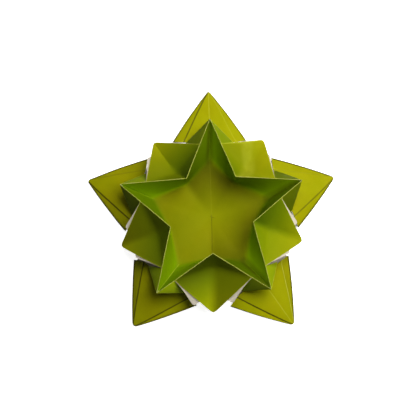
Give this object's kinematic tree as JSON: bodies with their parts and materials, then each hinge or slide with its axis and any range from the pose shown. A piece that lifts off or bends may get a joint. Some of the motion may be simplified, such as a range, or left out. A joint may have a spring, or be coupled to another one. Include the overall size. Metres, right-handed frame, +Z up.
{
  "type": "folded paper star dish",
  "caption": "Star-shaped paper dish folded with raised cup walls, petals leaning out between the arms and flat points under them, for a table at a festive season.",
  "frame": {"origin": "centre of the star on the flat underside that rests on the table", "axes": "+Z up out of the cup's mouth; +Y along arm 1, the top arm in the picture; +X to the right in the picture, across the widest pair of points"},
  "size_m": [0.1426, 0.1357, 0.0174],
  "materials": {
    "paper_green": "matte",
    "paper_lining": "matte"
  },
  "bodies": {
    "cup": {"floor_1": "paper_green", "floor_2": "paper_green", "floor_3": "paper_green", "floor_4": "paper_green", "floor_5": "paper_green", "wall_1_left": "paper_green", "wall_2_left": "paper_green", "wall_3_left": "paper_green", "wall_4_left": "paper_green", "wall_5_left": "paper_green", "wall_1_right": "paper_green", "wall_2_right": "paper_green", "wall_3_right": "paper_green", "wall_4_right": "paper_green", "wall_5_right": "paper_green", "brace_1_left": "paper_green", "brace_2_left": "paper_green", "brace_3_left": "paper_green", "brace_4_left": "paper_green", "brace_5_left": "paper_green", "brace_1_right": "paper_green", "brace_2_right": "paper_green", "brace_3_right": "paper_green", "brace_4_right": "paper_green", "brace_5_right": "paper_green", "base_1": "paper_green", "base_2": "paper_green", "base_3": "paper_green", "base_4": "paper_green", "base_5": "paper_green", "petal_foot_1": "paper_green", "petal_foot_2": "paper_green", "petal_foot_3": "paper_green", "petal_foot_4": "paper_green", "petal_foot_5": "paper_green"},
    "petal_1_flap": {"petal_1": "paper_green"},
    "petal_2_flap": {"petal_2": "paper_green"},
    "petal_3_flap": {"petal_3": "paper_green"},
    "petal_4_flap": {"petal_4": "paper_green"},
    "petal_5_flap": {"petal_5": "paper_green"},
    "point_1": {"point_face_1": "paper_green", "point_1_left_fold": "paper_green", "point_1_right_fold": "paper_green", "point_lining_1": "paper_lining"},
    "point_2": {"point_face_2": "paper_green", "point_2_left_fold": "paper_green", "point_2_right_fold": "paper_green", "point_lining_2": "paper_lining"},
    "point_3": {"point_face_3": "paper_green", "point_3_left_fold": "paper_green", "point_3_right_fold": "paper_green", "point_lining_3": "paper_lining"},
    "point_4": {"point_face_4": "paper_green", "point_4_left_fold": "paper_green", "point_4_right_fold": "paper_green", "point_lining_4": "paper_lining"},
    "point_5": {"point_face_5": "paper_green", "point_5_left_fold": "paper_green", "point_5_right_fold": "paper_green", "point_lining_5": "paper_lining"}
  },
  "joints": [
    {"name": "petal_1_hinge", "type": "hinge", "parent": "cup", "child": "petal_1_flap", "pos_m": [-0.02071, 0.02851, 0.01689], "axis": [0.809, 0.5878, 0], "range_deg": [-5, 45]},
    {"name": "petal_2_hinge", "type": "hinge", "parent": "cup", "child": "petal_2_flap", "pos_m": [-0.03351, -0.01089, 0.01689], "axis": [-0.309, 0.9511, 0], "range_deg": [-5, 45]},
    {"name": "petal_3_hinge", "type": "hinge", "parent": "cup", "child": "petal_3_flap", "pos_m": [0, -0.03524, 0.01689], "axis": [-1, 0, 0], "range_deg": [-5, 45]},
    {"name": "petal_4_hinge", "type": "hinge", "parent": "cup", "child": "petal_4_flap", "pos_m": [0.03351, -0.01089, 0.01689], "axis": [-0.309, -0.9511, 0], "range_deg": [-5, 45]},
    {"name": "petal_5_hinge", "type": "hinge", "parent": "cup", "child": "petal_5_flap", "pos_m": [0.02071, 0.02851, 0.01689], "axis": [0.809, -0.5878, 0], "range_deg": [-5, 45]},
    {"name": "point_1_hinge", "type": "hinge", "parent": "cup", "child": "point_1", "pos_m": [0, 0.0448, 0.00013], "axis": [1, 0, 0], "range_deg": [0, 30]},
    {"name": "point_2_hinge", "type": "hinge", "parent": "cup", "child": "point_2", "pos_m": [-0.04261, 0.01384, 0.00013], "axis": [0.309, 0.9511, 0], "range_deg": [0, 30]},
    {"name": "point_3_hinge", "type": "hinge", "parent": "cup", "child": "point_3", "pos_m": [-0.02633, -0.03624, 0.00013], "axis": [-0.809, 0.5878, 0], "range_deg": [0, 30]},
    {"name": "point_4_hinge", "type": "hinge", "parent": "cup", "child": "point_4", "pos_m": [0.02633, -0.03624, 0.00013], "axis": [-0.809, -0.5878, 0], "range_deg": [0, 30]},
    {"name": "point_5_hinge", "type": "hinge", "parent": "cup", "child": "point_5", "pos_m": [0.04261, 0.01384, 0.00013], "axis": [0.309, -0.9511, 0], "range_deg": [0, 30]}
  ]
}
